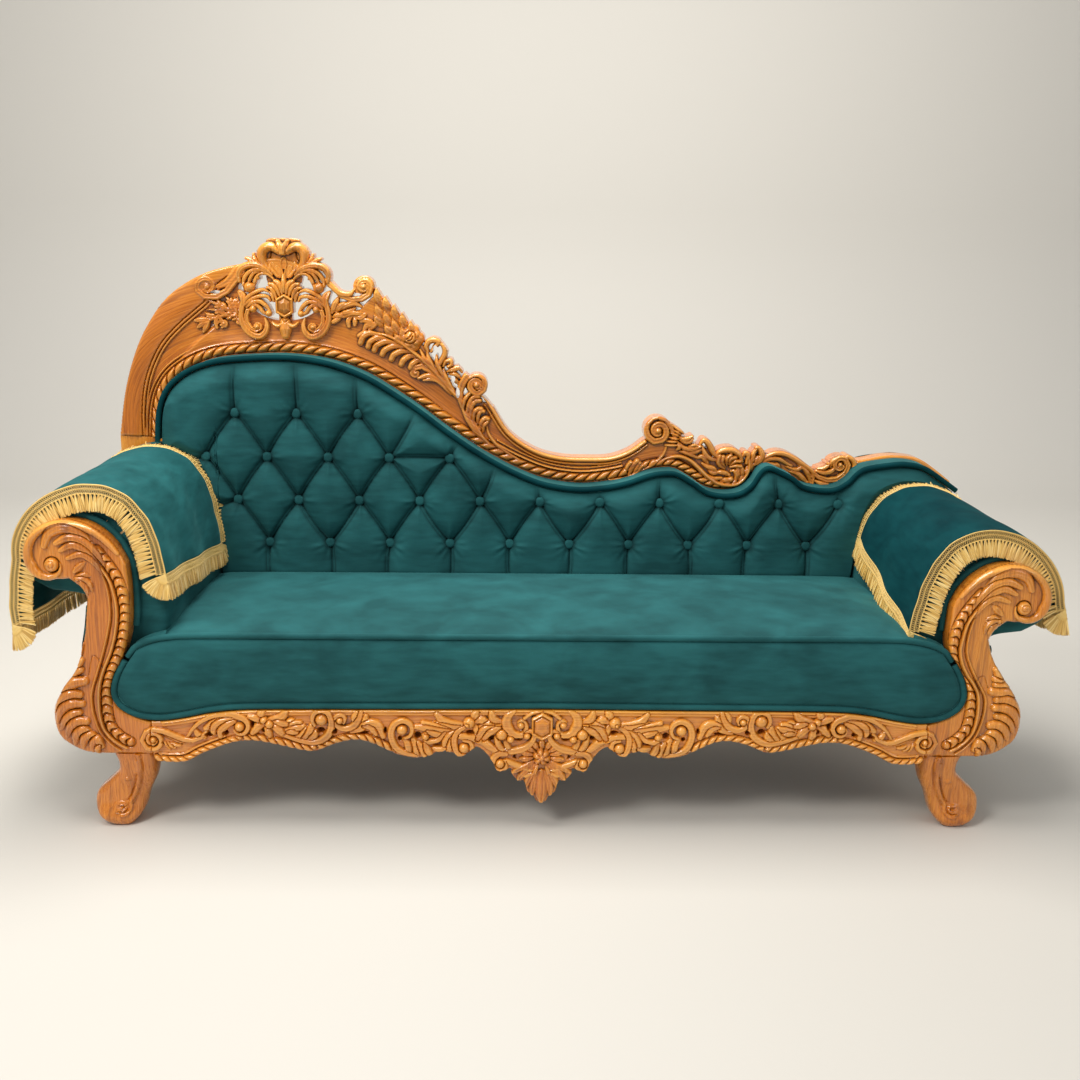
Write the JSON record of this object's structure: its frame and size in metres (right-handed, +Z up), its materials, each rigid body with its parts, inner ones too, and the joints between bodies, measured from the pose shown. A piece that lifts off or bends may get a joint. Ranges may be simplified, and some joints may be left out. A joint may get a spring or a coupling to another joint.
{
  "type": "divan",
  "caption": "Carved hardwood divan with a raised head end, scroll arms, a deep-buttoned velvet back, a piped seat and fringed velvet throws over the arms.",
  "frame": {"origin": "on the floor, under the middle of the whole piece", "axes": "+X along the length towards the low foot end, +Y to the back, +Z up"},
  "size_m": [2.2432, 0.7, 1.218],
  "materials": {
    "carved_wood": "carved teak, clear lacquer, semi-gloss",
    "frame_timber": "sawn softwood and plywood, unfinished",
    "velvet": "teal green velvet, short pile",
    "throw_velvet": "teal green velvet, lined",
    "gold_fringe": "gold twisted tassel fringe with a netted heading",
    "foam": "cut polyurethane foam",
    "dust_cloth": "black non-woven cloth",
    "steel_hardware": "zinc-plated steel"
  },
  "bodies": {
    "root": {"front_apron": "carved_wood", "apron_cartouche": "carved_wood", "front_left_leg": "carved_wood", "front_right_leg": "carved_wood", "rear_left_leg": "carved_wood", "rear_right_leg": "carved_wood", "seat_front_rail": "frame_timber", "seat_rear_rail": "frame_timber", "seat_left_rail": "frame_timber", "seat_right_rail": "frame_timber", "seat_bearers": "frame_timber", "corner_blocks": "frame_timber", "corner_screws": "steel_hardware", "seat_deck": "frame_timber", "seat_foam": "foam", "seat_cover": "velvet", "seat_front_border": "velvet", "seat_top_piping": "velvet", "seat_bottom_piping": "velvet", "seat_dust_cover": "dust_cloth", "left_arm_facing": "carved_wood", "right_arm_facing": "carved_wood", "left_arm_formers": "frame_timber", "right_arm_formers": "frame_timber", "left_arm_battens": "frame_timber", "right_arm_battens": "frame_timber", "left_arm_padding": "foam", "right_arm_padding": "foam", "left_arm_cover": "velvet", "right_arm_cover": "velvet", "left_arm_piping": "velvet", "right_arm_piping": "velvet", "arm_bolts": "steel_hardware", "back_left_post": "carved_wood", "back_right_post": "carved_wood", "back_lower_rail": "carved_wood", "back_struts": "frame_timber", "back_bolts": "steel_hardware", "crest_rail": "carved_wood", "crest_cartouche": "carved_wood", "back_ply": "frame_timber", "back_foam": "foam", "back_border": "velvet", "back_cover": "velvet", "back_buttons": "velvet", "back_piping": "velvet", "back_outer_cover": "velvet", "left_throw": "throw_velvet", "right_throw": "throw_velvet", "left_throw_fringe": "gold_fringe", "right_throw_fringe": "gold_fringe"}
  },
  "joints": []
}
